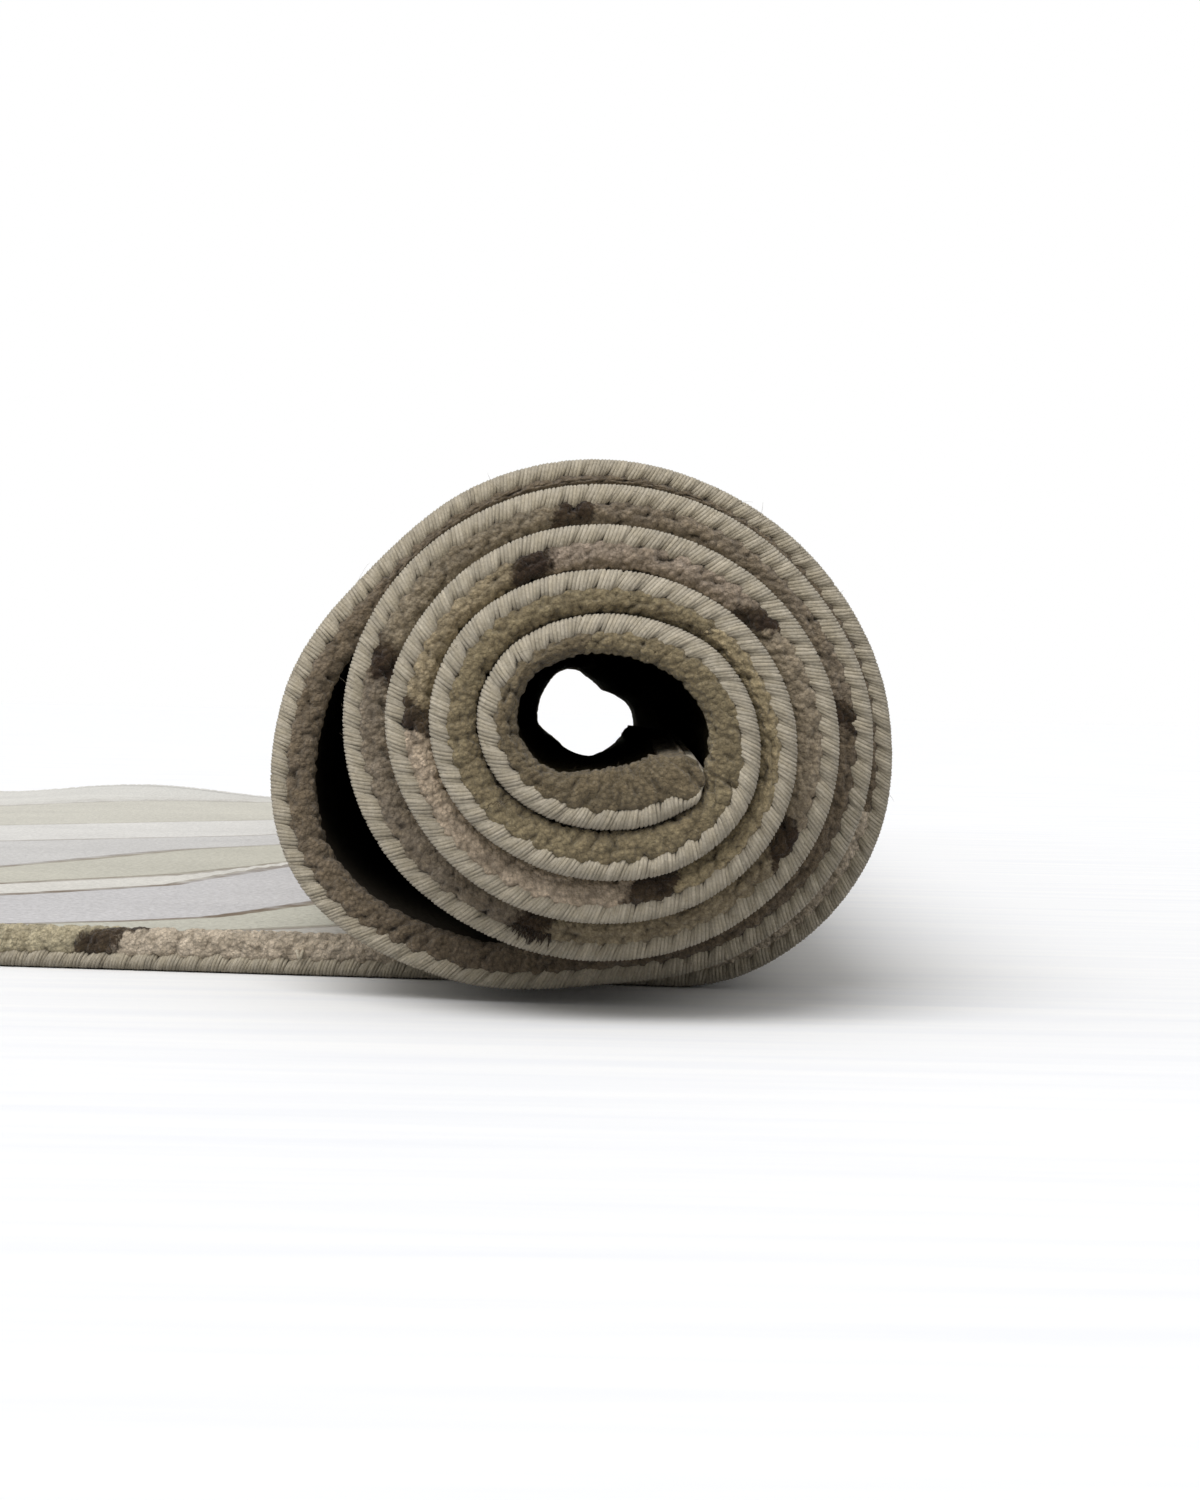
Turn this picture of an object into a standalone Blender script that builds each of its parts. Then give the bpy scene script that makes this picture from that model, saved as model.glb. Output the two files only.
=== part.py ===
"""Rolled up carpet: a bound cut-pile rug wound pile inwards, its last part lying flat.

The rug is worked out flat, in rug coordinates, and then wound:
    u   distance from the inner end, along the length of the rug
    v   distance from the front long side, across the rug
    t   height over the woven back, into the pile
It is wound a little tighter at the front than at the back, so the roll is a slight cone. Laid
out flat, the lines of the cone meet at an apex APEX metres in front of the rug.
"""

import math

import bpy
import numpy as np

# Sizes in metres
RUG_LENGTH = 2.4486
RUG_WIDTH = 1.52
RUG_THICKNESS = 0.0115          # woven back and pile together
BACK_THICKNESS = 0.0055         # woven back, and the binding over its edge
BACK_SHARE = 0.78               # most of the thickness that the back takes where pile is pressed
NEUTRAL = 0.003                 # depth of the layer that keeps its length when the rug is bent
BINDING_WIDTH = 0.007
CLEARANCE = 0.0003              # between the binding and the cloth
TURN_GAP = 0.0009               # between one turn's pile and the next turn's back

# The winding
CENTRE_HEIGHT = 0.082
APEX = 9.75
STATION = 12.0                  # degrees of winding from one station to the next
ROLL_START = -90.0              # winding angle where the flat part ends, under the centre
END_ANGLE = 1776.0              # winding angle of the inner end
FLAT_STATIONS = 15

# The front of the roll overhangs the flat part and droops
SAG = 0.0044
SAG_START = 0.020               # behind the front edge of the flat part
SAG_LENGTH = 0.168

# Where the pile is pressed thinner or stands taller at the front: winding angle, reach in degrees
# and change of thickness
PILE_CHANGES = ((1385.0, 52.0, 0.20), (1575.0, 115.0, -0.26), (1745.0, 75.0, 0.34))

# How the flap thins out towards the inner end
TAPER_FROM_FRONT = 1758.0
TAPER_FROM_BACK = 1725.0
TAPER_FRONT = 0.60
TAPER_BACK = 0.74

# The woven back of the flap curls up at its front corner
CURL = 0.005
CURL_FROM = 1758.0

# A low ripple in the flat part, by the back long side
RIPPLE_HEIGHT = 0.007
RIPPLE_PLACE = 0.30             # from the centre of the roll
RIPPLE_REACH = 0.10
RIPPLE_FROM = 0.90              # from the front long side

# Millimetres from the centre of the roll to the woven back, one row for each turn, seen from the
# front with the turns running from six o'clock to the right, over the top and down the left
HOURS = (6, 5, 4, 3, 2, 1, 12, 11, 10, 9, 8, 7)
FRONT_TURNS = (
    (82.0, 89.0, 89.0, 81.3, 73.0, 68.0, 67.3, 69.0, 73.2, 87.2, 95.5, 85.0),
    (74.5, 75.0, 75.0, 71.5, 65.0, 61.0, 59.5, 61.0, 64.5, 67.5, 67.5, 65.0),
    (64.0, 64.0, 63.5, 60.0, 54.5, 50.0, 48.5, 50.0, 52.5, 55.5, 54.5, 53.5),
    (52.5, 53.0, 52.0, 48.0, 43.0, 38.5, 37.0, 38.5, 42.0, 44.0, 43.5, 41.5),
    (41.0, 42.4, 42.3, 38.2, 32.9, 27.8, 26.0, 27.0, 30.0, 32.0, 31.2, 29.0),
    (28.2, 29.8, 31.7, 30.0, 24.0, 18.0),
)
BACK_TURNS = (
    (82.0, 91.0, 93.0, 88.0, 80.5, 77.0, 77.5, 79.0, 82.0, 91.0, 92.0, 82.0),
    (74.5, 83.5, 85.5, 79.5, 69.0, 66.5, 69.0, 70.0, 70.5, 73.0, 74.0, 70.5),
    (67.5, 76.0, 78.0, 68.5, 57.0, 54.5, 57.5, 58.5, 58.5, 60.5, 62.5, 59.5),
    (60.5, 68.5, 70.0, 57.0, 45.0, 43.0, 46.0, 47.0, 46.5, 48.5, 50.5, 48.5),
    (53.5, 60.5, 54.5, 46.0, 31.5, 29.5, 33.0, 34.3, 33.3, 35.3, 39.0, 38.5),
    (46.0, 47.0, 42.0, 31.0, 17.0, 14.0),
)
HOUR_ANGLE = 360.0 / len(HOURS)

PILE_COLOUR = (0.36, 0.32, 0.24, 1.0)
BINDING_COLOUR = (0.47, 0.43, 0.35, 1.0)
WOOL_ROUGHNESS = 0.95


def clear_scene():
    for old in list(bpy.data.objects):
        bpy.data.objects.remove(old, do_unlink=True)


def along(knots, angle):
    """Smooth curve through a table's radii, at a winding angle, in metres."""
    place = (angle - ROLL_START) / HOUR_ANGLE
    first = min(max(int(math.floor(place)), 0), len(knots) - 2)
    f = min(place - first, 1.0)
    a, b = knots[first], knots[first + 1]
    before = knots[first - 1] if first > 0 else b
    after = knots[first + 2] if first + 2 < len(knots) else 2 * b - a
    slope_a = (b - before) / 2
    slope_b = (after - a) / 2
    curve = (a * (1 + 2 * f) * (1 - f) ** 2 + slope_a * f * (1 - f) ** 2
             + b * f * f * (3 - 2 * f) - slope_b * f * f * (1 - f))
    return curve / 1000


FRONT_KNOTS = [radius for row in FRONT_TURNS for radius in row]
BACK_KNOTS = [radius for row in BACK_TURNS for radius in row]


def back_radius(angle, depth):
    """Radius of the woven back; depth runs from 0 at the front of the roll to 1 at its back."""
    radius = (1 - depth) * along(FRONT_KNOTS, angle) + depth * along(BACK_KNOTS, angle)
    down = -math.sin(math.radians(angle))
    if down > 0.3:
        radius = min(radius, CENTRE_HEIGHT / down)
    return radius


def wound_lengths():
    """Length of rug from the inner end to each degree of winding, at the front of the roll."""
    angles = np.arange(ROLL_START, END_ANGLE + 1.0, 1.0)
    radii = np.array([back_radius(angle, 0.0) - NEUTRAL for angle in angles])
    x = radii * np.cos(np.radians(angles))
    z = radii * np.sin(np.radians(angles))
    steps = np.hypot(np.diff(x), np.diff(z))
    lengths = np.concatenate([np.cumsum(steps[::-1])[::-1], [0.0]])
    return angles, lengths


ANGLES, LENGTHS = wound_lengths()
ROLLED_LENGTH = float(LENGTHS[0])
CONTACT_TURN = ROLLED_LENGTH / APEX
CONTACT_DEPTH = APEX / math.cos(CONTACT_TURN) - APEX


def length_at(angle):
    return float(np.interp(angle, ANGLES, LENGTHS))


def angle_at(length):
    return float(np.interp(length, LENGTHS[::-1], ANGLES[::-1]))


def sag_at(angle, y):
    """Droop of the overhanging front of the roll; the first turn's rise doesn't droop."""
    share = min(max((CONTACT_DEPTH + SAG_START - y) / SAG_LENGTH, 0.0), 1.0)
    started = min(max((angle - ROLL_START) / 270.0, 0.0), 1.0)
    return SAG * share * started


def roof_over_flat(x, depth):
    """Height of the underside of the first turn over the flat part, at x left of the centre."""
    angles = np.arange(198.0, 271.0, 6.0)
    radii = np.array([back_radius(angle, depth) for angle in angles])
    across = radii * np.cos(np.radians(angles))
    height = CENTRE_HEIGHT + radii * np.sin(np.radians(angles))
    if x < across[0]:
        return 1.0
    return float(np.interp(x, across, height))


def ripple_at(x, v):
    near_crest = max(0.0, 1 - ((x + RIPPLE_PLACE) / RIPPLE_REACH) ** 2)
    towards_back = min(max((v - RIPPLE_FROM) / (RUG_WIDTH - RIPPLE_FROM), 0.0), 1.0)
    return RIPPLE_HEIGHT * near_crest ** 2 * towards_back ** 2


def curl_at(angle, depth):
    """How much closer to the centre the woven back is by the inner end."""
    f = max((angle - CURL_FROM) / (END_ANGLE - CURL_FROM), 0.0)
    return CURL * f * f * (1 - depth)


def thickness_share(angle, depth):
    """Thickness of the rug as a share of its full thickness, near the innermost turn."""
    pressed = 0.0
    for middle, reach, change in PILE_CHANGES:
        pressed += change * max(0.0, 1 - ((angle - middle) / reach) ** 2) * (1 - depth)
    start = TAPER_FROM_FRONT + (TAPER_FROM_BACK - TAPER_FROM_FRONT) * depth
    f = min(max((angle - start) / (END_ANGLE - start), 0.0), 1.0)
    tapered = (TAPER_FRONT + (TAPER_BACK - TAPER_FRONT) * depth) * f * f
    return (1 + pressed) * (1 - tapered)


def levels(thickness, most_back):
    """Heights of the woven back's top, of the pile's underside by the edge, and of the pile."""
    back = min(most_back, BACK_SHARE * thickness)
    return {"bottom": 0.0, "back": back, "under_pile": back + CLEARANCE, "pile": thickness}


def placed(u, v, height):
    """Point of the wound rug; height is a share of the back's thickness or the name of a level."""
    distance = math.hypot(u, APEX + v)
    turn = math.atan2(u, APEX + v)
    if turn > CONTACT_TURN:
        x = -distance * math.sin(turn - CONTACT_TURN)
        y = distance * math.cos(turn - CONTACT_TURN) - APEX
        thickness = min(RUG_THICKNESS, roof_over_flat(x, y / RUG_WIDTH) - TURN_GAP)
        level = levels(thickness, BACK_THICKNESS)
        t = level[height] if isinstance(height, str) else height * level["back"]
        return x, y, t + ripple_at(x, v)
    y = distance - APEX
    depth = y / RUG_WIDTH
    angle = angle_at(APEX * turn)
    direction = math.radians(angle)
    radius = back_radius(angle, depth)
    slope = (back_radius(angle + 3, depth) - back_radius(angle - 3, depth)) / math.radians(6)
    slant = math.hypot(1, slope / radius)
    sag = sag_at(angle, y)
    inner_angle = angle + 360
    closer = (sag_at(inner_angle, y) - sag) * max(0.0, -math.sin(direction))
    within = back_radius(inner_angle, depth) - curl_at(inner_angle, depth)
    pitch = radius - within - max(0.0, closer)
    if inner_angle > END_ANGLE + 60:
        pitch = radius
    full = RUG_THICKNESS * slant * thickness_share(angle, depth)
    thickness = min(full, pitch - TURN_GAP)
    level = levels(thickness, BACK_THICKNESS * slant)
    t = level[height] if isinstance(height, str) else height * level["back"]
    t += curl_at(angle, depth)
    x = (radius - t) * math.cos(direction)
    z = CENTRE_HEIGHT - sag + (radius - t) * math.sin(direction)
    return x, y, z


def station_lines():
    """Lines across the rug, from the inner end outwards, as u at the front and at the back."""
    widening = (APEX + RUG_WIDTH) / APEX
    lines = [(0.0, 0.0), (BINDING_WIDTH, BINDING_WIDTH * widening)]
    outermost = RUG_LENGTH - BINDING_WIDTH
    turns = math.floor((angle_at(1.5 * BINDING_WIDTH) - ROLL_START) / STATION)
    for k in range(turns, -1, -1):
        turn = length_at(ROLL_START + k * STATION) / APEX
        lines.append((APEX * math.tan(turn), (APEX + RUG_WIDTH) * math.tan(turn)))
    last = lines[-1]
    for k in range(1, FLAT_STATIONS + 1):
        f = (k / FLAT_STATIONS) ** 1.4
        lines.append((last[0] + (outermost - last[0]) * f, last[1] + (outermost - last[1]) * f))
    lines.append((RUG_LENGTH, RUG_LENGTH))
    return lines


def row_places(line):
    """Distances from the front long side at which a station line has its points."""
    turn = math.atan2(line[0], APEX)
    if turn < CONTACT_TURN:
        plane = (APEX + CONTACT_DEPTH + SAG_START) * math.cos(turn) - APEX
    else:
        plane = SAG_START
    return [0.0, BINDING_WIDTH, plane, 0.9, 1.25, RUG_WIDTH - BINDING_WIDTH, RUG_WIDTH]


def across(line, v):
    return line[0] + (line[1] - line[0]) * v / RUG_WIDTH


def split(points, face):
    """Splits a face of four corners along the diagonal that leaves the solid thinner."""
    if len(face) != 4:
        return [face]
    a, b, c, d = (np.array(points[k]) for k in face)
    outward = np.cross(c - a, d - b)
    if np.dot(a + c - b - d, outward) < 0:
        return [[face[0], face[1], face[2]], [face[0], face[2], face[3]]]
    return [[face[0], face[1], face[3]], [face[1], face[2], face[3]]]


def as_object(name, points, faces, material, collection):
    mesh = bpy.data.meshes.new(name)
    faces = [part for face in faces for part in split(points, face)]
    mesh.from_pydata(points, [], faces)
    mesh.materials.append(material)
    mesh.shade_smooth()
    mesh.set_sharp_from_angle(angle=math.radians(50))
    mesh.update()
    made = bpy.data.objects.new(name, mesh)
    collection.objects.link(made)
    return made


def cloth(lines, material, collection):
    """The rug without its binding: pile to all four edges, the woven back stopping short."""
    heights = ("bottom", "under_pile", "pile")
    rows = len(row_places(lines[0]))
    points = []
    number = {}

    def point(i, j, k):
        if (i, j, k) not in number:
            v = row_places(lines[i])[j]
            number[i, j, k] = len(points)
            points.append(placed(across(lines[i], v), v, heights[k]))
        return number[i, j, k]

    def filled(i, j, k):
        if not (0 <= i < len(lines) - 1 and 0 <= j < rows - 1 and 0 <= k < 2):
            return False
        return k == 1 or (0 < i < len(lines) - 2 and 0 < j < rows - 2)

    # the corners of each side of a block, with the step to the block beyond that side
    sides = (
        ((-1, 0, 0), ((0, 0, 0), (0, 0, 1), (0, 1, 1), (0, 1, 0))),
        ((1, 0, 0), ((1, 0, 0), (1, 1, 0), (1, 1, 1), (1, 0, 1))),
        ((0, -1, 0), ((0, 0, 0), (1, 0, 0), (1, 0, 1), (0, 0, 1))),
        ((0, 1, 0), ((0, 1, 0), (0, 1, 1), (1, 1, 1), (1, 1, 0))),
        ((0, 0, -1), ((0, 0, 0), (0, 1, 0), (1, 1, 0), (1, 0, 0))),
        ((0, 0, 1), ((0, 0, 1), (1, 0, 1), (1, 1, 1), (0, 1, 1))),
    )
    faces = []
    for i in range(len(lines) - 1):
        for j in range(rows - 1):
            for k in range(2):
                if not filled(i, j, k):
                    continue
                for step, corners in sides:
                    if not filled(i + step[0], j + step[1], k + step[2]):
                        faces.append([point(i + a, j + b, k + c) for a, b, c in corners][::-1])
    return as_object("carpet", points, faces, material, collection)


def binding(name, sections, material, collection):
    """A rounded bead lofted through sections, each a list of places on the rug."""
    points = [placed(*place) for section in sections for place in section]
    size = len(sections[0])
    faces = [list(range(size))[::-1]]
    for i in range(len(sections) - 1):
        for j in range(size):
            following = (j + 1) % size
            faces.append([i * size + j, i * size + following,
                          (i + 1) * size + following, (i + 1) * size + j])
    faces.append([(len(sections) - 1) * size + j for j in range(size)])
    return as_object(name, points, faces, material, collection)


# Section of the binding: inwards from the edge as a share of its width, height as a share
BEAD = ((0.30, 0.0), (0.0, 0.30), (0.0, 0.75), (0.22, 1.0), (1.0, 1.0), (1.0, 0.0))


def side_binding(name, lines, edge, inwards, material, collection):
    """Binding along a long side; edge is its v, inwards is +1 or -1."""
    width = BINDING_WIDTH - CLEARANCE
    sections = []
    for line in lines:
        section = []
        for inward, height in BEAD:
            v = edge + inwards * inward * width
            section.append((across(line, v), v, height))
        sections.append(section if inwards > 0 else section[::-1])
    return binding(name, sections, material, collection)


def end_binding(name, edge, inner, places, material, collection):
    """Binding along an end, between the two long sides, from its edge line to the next line."""
    share = 1 - CLEARANCE / BINDING_WIDTH
    sections = []
    for v in places:
        outermost, innermost = across(edge, v), across(inner, v)
        section = [(outermost + inward * share * (innermost - outermost), v, height)
                   for inward, height in BEAD]
        sections.append(section[::-1] if innermost > outermost else section)
    return binding(name, sections, material, collection)


def wool(name, colour):
    material = bpy.data.materials.new(name)
    material.use_nodes = True
    shader = material.node_tree.nodes["Principled BSDF"]
    shader.inputs["Base Color"].default_value = colour
    shader.inputs["Roughness"].default_value = WOOL_ROUGHNESS
    shader.inputs["Metallic"].default_value = 0.0
    material.diffuse_color = colour
    return material


def centre_on_origin(pieces):
    """Moves the whole model so that its box stands on the ground, centred over the origin."""
    corners = np.array([v.co for piece in pieces for v in piece.data.vertices])
    low, high = corners.min(axis=0), corners.max(axis=0)
    for piece in pieces:
        for vertex in piece.data.vertices:
            vertex.co.x -= (low[0] + high[0]) / 2
            vertex.co.y -= (low[1] + high[1]) / 2


def main():
    clear_scene()
    collection = bpy.data.collections.new("rolled_up_carpet")
    bpy.context.scene.collection.children.link(collection)
    pile = wool("pile", PILE_COLOUR)
    yarn = wool("binding_yarn", BINDING_COLOUR)
    lines = station_lines()
    ends = [v for v in row_places(lines[0])[1:-1]]
    pieces = [
        cloth(lines, pile, collection),
        side_binding("binding_front", lines, 0.0, 1, yarn, collection),
        side_binding("binding_back", lines, RUG_WIDTH, -1, yarn, collection),
        end_binding("binding_inner_end", lines[0], lines[1], ends, yarn, collection),
        end_binding("binding_outer_end", lines[-1], lines[-2], ends, yarn, collection),
    ]
    centre_on_origin(pieces)


main()
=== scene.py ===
import math

import bpy
import numpy as np
from mathutils import Matrix, Vector


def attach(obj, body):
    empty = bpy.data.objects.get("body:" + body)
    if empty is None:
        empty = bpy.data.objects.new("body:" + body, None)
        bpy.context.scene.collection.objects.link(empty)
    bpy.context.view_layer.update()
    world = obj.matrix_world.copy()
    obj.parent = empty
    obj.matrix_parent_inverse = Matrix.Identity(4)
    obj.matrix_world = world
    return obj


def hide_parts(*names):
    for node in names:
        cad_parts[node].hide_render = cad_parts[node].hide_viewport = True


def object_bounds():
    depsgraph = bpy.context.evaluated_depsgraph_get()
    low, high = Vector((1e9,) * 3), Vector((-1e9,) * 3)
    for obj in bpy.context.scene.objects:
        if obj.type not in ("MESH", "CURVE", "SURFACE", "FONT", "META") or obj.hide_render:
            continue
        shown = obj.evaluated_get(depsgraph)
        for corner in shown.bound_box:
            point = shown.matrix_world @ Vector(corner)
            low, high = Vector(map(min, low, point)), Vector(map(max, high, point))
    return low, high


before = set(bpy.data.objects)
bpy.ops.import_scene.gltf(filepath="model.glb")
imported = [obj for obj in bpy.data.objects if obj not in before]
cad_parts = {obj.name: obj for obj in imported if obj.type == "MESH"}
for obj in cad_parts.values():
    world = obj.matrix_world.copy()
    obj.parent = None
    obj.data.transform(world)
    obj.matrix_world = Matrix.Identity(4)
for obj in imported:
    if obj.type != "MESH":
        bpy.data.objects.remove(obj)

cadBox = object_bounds()
rng = np.random.default_rng(11)

# u runs along the rug from its inner end, v across it from its front edge, h up through it
rug = {
    "length": 2.4486,
    "width": 1.52,
    "thick": 0.0115,
    "back": 0.0055,         # woven back, and the yarn over its edge
    "backShare": 0.78,
    "neutral": 0.003,       # depth in the rug that keeps its length when it is rolled
    "gap": 0.0009,          # between two turns
    "centre": 0.082,        # height of the roll's middle
    "floorSide": 0.3,       # the floor flattens the roll where it faces down by this share
    "apex": 9.75,           # the roll is a slight cone: how far its apex lies in front of it
    "start": -90.0,         # winding angles, in degrees
    "end": 1776.0,
    "roof": (198.0, 271.0, 6.0),      # angles of the side that overhangs the flat part, and their step
    "sag": 0.0044,          # the front end overhangs the flat part and droops
    "sagFrom": 0.020,
    "sagLength": 0.168,
    "sagTurn": 270.0,       # degrees of winding over which the droop grows
    # the pile is pressed thinner or stands taller at the front: angle, reach and change
    "pileChanges": ((1385.0, 52.0, 0.20), (1575.0, 115.0, -0.26), (1745.0, 75.0, 0.34)),
    "taperFrom": (1758.0, 1725.0),    # the flap thins out towards the inner end, front and back
    "taper": (0.60, 0.74),
    "curl": (1758.0, 0.005),          # and its front corner curls up
    "rippleHeight": 0.007,            # a low ripple towards the back of the flat part
    "ripplePlace": 0.30,
    "rippleReach": 0.10,
    "rippleFrom": 0.90,
}

# millimetres from the middle of the roll to the back of the rug, a row for each turn, from six
# o'clock to the right, over the top and down the left
frontTurns = (
    (82.0, 89.0, 89.0, 81.3, 73.0, 68.0, 67.3, 69.0, 73.2, 87.2, 95.5, 85.0),
    (74.5, 75.0, 75.0, 71.5, 65.0, 61.0, 59.5, 61.0, 64.5, 67.5, 67.5, 65.0),
    (64.0, 64.0, 63.5, 60.0, 54.5, 50.0, 48.5, 50.0, 52.5, 55.5, 54.5, 53.5),
    (52.5, 53.0, 52.0, 48.0, 43.0, 38.5, 37.0, 38.5, 42.0, 44.0, 43.5, 41.5),
    (41.0, 42.4, 42.3, 38.2, 32.9, 27.8, 26.0, 27.0, 30.0, 32.0, 31.2, 29.0),
    (28.2, 29.8, 31.7, 30.0, 24.0, 18.0),
)
backTurns = (
    (82.0, 91.0, 93.0, 88.0, 80.5, 77.0, 77.5, 79.0, 82.0, 91.0, 92.0, 82.0),
    (74.5, 83.5, 85.5, 79.5, 69.0, 66.5, 69.0, 70.0, 70.5, 73.0, 74.0, 70.5),
    (67.5, 76.0, 78.0, 68.5, 57.0, 54.5, 57.5, 58.5, 58.5, 60.5, 62.5, 59.5),
    (60.5, 68.5, 70.0, 57.0, 45.0, 43.0, 46.0, 47.0, 46.5, 48.5, 50.5, 48.5),
    (53.5, 60.5, 54.5, 46.0, 31.5, 29.5, 33.0, 34.3, 33.3, 35.3, 39.0, 38.5),
    (46.0, 47.0, 42.0, 31.0, 17.0, 14.0),
)
frontKnots = np.concatenate(frontTurns) / 1000
backKnots = np.concatenate(backTurns) / 1000
hourAngle = 30.0


# a smooth curve through the table's values
def alongKnots(knots, angle):
    place = (angle - rug["start"]) / hourAngle
    first = np.clip(np.floor(place).astype(int), 0, len(knots) - 2)
    f = np.minimum(place - first, 1.0)
    a, b = knots[first], knots[first + 1]
    before = np.where(first > 0, knots[first - 1], b)
    after = np.where(first + 2 < len(knots), knots[np.minimum(first + 2, len(knots) - 1)], 2 * b - a)
    slopeA, slopeB = (b - before) / 2, (after - a) / 2
    return (a * (1 + 2 * f) * (1 - f) ** 2 + slopeA * f * (1 - f) ** 2
            + b * f * f * (3 - 2 * f) - slopeB * f * f * (1 - f))


def backRadius(angle, depth):
    radius = (1 - depth) * alongKnots(frontKnots, angle) + depth * alongKnots(backKnots, angle)
    down = -np.sin(np.radians(angle))
    toFloor = rug["centre"] / np.maximum(down, rug["floorSide"])
    return np.where(down > rug["floorSide"], np.minimum(radius, toFloor), radius)


lastAngle = rug["end"] + 60.0         # the tables run on past the inner end
slopeStep = 3.0                       # degrees to each side over which a radius's slope is taken
windAngles = np.arange(rug["start"], lastAngle, 1.0)
windRadii = backRadius(windAngles, 0.0) - rug["neutral"]
windSteps = np.hypot(np.diff(windRadii * np.cos(np.radians(windAngles))),
                     np.diff(windRadii * np.sin(np.radians(windAngles))))
windLengths = np.concatenate([np.cumsum(windSteps[::-1])[::-1], [0.0]])
windLengths -= np.interp(rug["end"], windAngles, windLengths)
contactTurn = windLengths[0] / rug["apex"]
contactDepth = rug["apex"] / math.cos(contactTurn) - rug["apex"]


def angleAt(length):
    return np.interp(length, windLengths[::-1], windAngles[::-1])


def frontPlace(angle):
    return rug["apex"] * np.tan(np.interp(angle, windAngles, windLengths) / rug["apex"])


def sagAt(angle, y):
    share = np.clip((contactDepth + rug["sagFrom"] - y) / rug["sagLength"], 0, 1)
    return rug["sag"] * share * np.clip((angle - rug["start"]) / rug["sagTurn"], 0, 1)


# height of the roll's underside above the flat part
def roofOverFlat(x, depth):
    angles = np.arange(*rug["roof"])
    radii = backRadius(angles[None, :], depth[:, None])
    across = radii * np.cos(np.radians(angles))
    height = rug["centre"] + radii * np.sin(np.radians(angles))
    k = np.clip((x[:, None] >= across).sum(axis=1) - 1, 0, len(angles) - 2)
    rows = np.arange(len(x))
    a, b = across[rows, k], across[rows, k + 1]
    f = np.clip((x - a) / (b - a), 0, 1)
    roof = height[rows, k] * (1 - f) + height[rows, k + 1] * f
    return np.where(x < across[:, 0], 1.0, roof)


def curlAt(angle, depth):
    start, height = rug["curl"]
    f = np.maximum((angle - start) / (rug["end"] - start), 0)
    return height * f * f * (1 - depth)


def thicknessShare(angle, depth):
    pressed = sum(change * np.maximum(0.0, 1 - ((angle - middle) / reach) ** 2)
                  for middle, reach, change in rug["pileChanges"]) * (1 - depth)
    start = rug["taperFrom"][0] + (rug["taperFrom"][1] - rug["taperFrom"][0]) * depth
    f = np.clip((angle - start) / (rug["end"] - start), 0, 1)
    tapered = rug["taper"][0] + (rug["taper"][1] - rug["taper"][0]) * depth
    return (1 + pressed) * (1 - tapered * f * f)


# a height in the flat rug, as a distance through the rug where it is pressed or stretched
def throughRug(h, thickness, mostBack):
    back = np.minimum(mostBack, rug["backShare"] * thickness)
    inBack = h / rug["back"] * back
    inPile = back + (h - rug["back"]) / (rug["thick"] - rug["back"]) * (thickness - back)
    over = np.where(h > rug["thick"], thickness + h - rug["thick"], inPile)
    return np.where(h < 0, h, np.where(h <= rug["back"], inBack, over))


# places in the flat rug, taken to where they lie once it is rolled up
def wound(u, v, h):
    u, v, h = (np.asarray(k, float) for k in np.broadcast_arrays(u, v, h))
    shape = u.shape
    u, v, h = u.ravel(), v.ravel(), h.ravel()
    distance = np.hypot(u, rug["apex"] + v)
    turn = np.arctan2(u, rug["apex"] + v)
    # the rolled part
    angle = angleAt(rug["apex"] * turn)
    y = distance - rug["apex"]
    depth = y / rug["width"]
    radius = backRadius(angle, depth)
    rise = backRadius(angle + slopeStep, depth) - backRadius(angle - slopeStep, depth)
    slope = rise / math.radians(2 * slopeStep)
    slant = np.hypot(1, slope / radius)
    sag = sagAt(angle, y)
    inner = angle + 360
    down = np.maximum(0.0, -np.sin(np.radians(angle)))
    closer = np.maximum(0.0, (sagAt(inner, y) - sag) * down)
    within = backRadius(np.minimum(inner, lastAngle), depth) - curlAt(inner, depth)
    pitch = np.where(inner > lastAngle, radius, radius - within - closer)
    thickness = np.minimum(rug["thick"] * slant * thicknessShare(angle, depth), pitch - rug["gap"])
    t = throughRug(h, thickness, rug["back"] * slant) + curlAt(angle, depth)
    rolled = np.stack([(radius - t) * np.cos(np.radians(angle)), y,
                       rug["centre"] - sag + (radius - t) * np.sin(np.radians(angle))], axis=1)
    # the part that lies flat
    x = -distance * np.sin(turn - contactTurn)
    y = distance * np.cos(turn - contactTurn) - rug["apex"]
    thickness = np.minimum(rug["thick"], roofOverFlat(x, y / rug["width"]) - rug["gap"])
    crest = np.maximum(0.0, 1 - ((x + rug["ripplePlace"]) / rug["rippleReach"]) ** 2)
    far = np.clip((v - rug["rippleFrom"]) / (rug["width"] - rug["rippleFrom"]), 0, 1)
    ripple = rug["rippleHeight"] * crest ** 2 * far ** 2
    flat = np.stack([x, y, throughRug(h, thickness, rug["back"]) + ripple], axis=1)
    points = np.where((turn > contactTurn)[:, None], flat, rolled)
    return (points + rugShift).reshape(shape + (3,))


rugShift = np.zeros(3)
outerCorner = wound(rug["length"], 0.0, 0.0)
rugShift = np.array([cadBox[0].x - outerCorner[0], cadBox[0].y, 0.0])
rollX = float(rugShift[0])
print("rug:", round(float(windLengths[0]), 3), "m is rolled up at the front edge")

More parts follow.
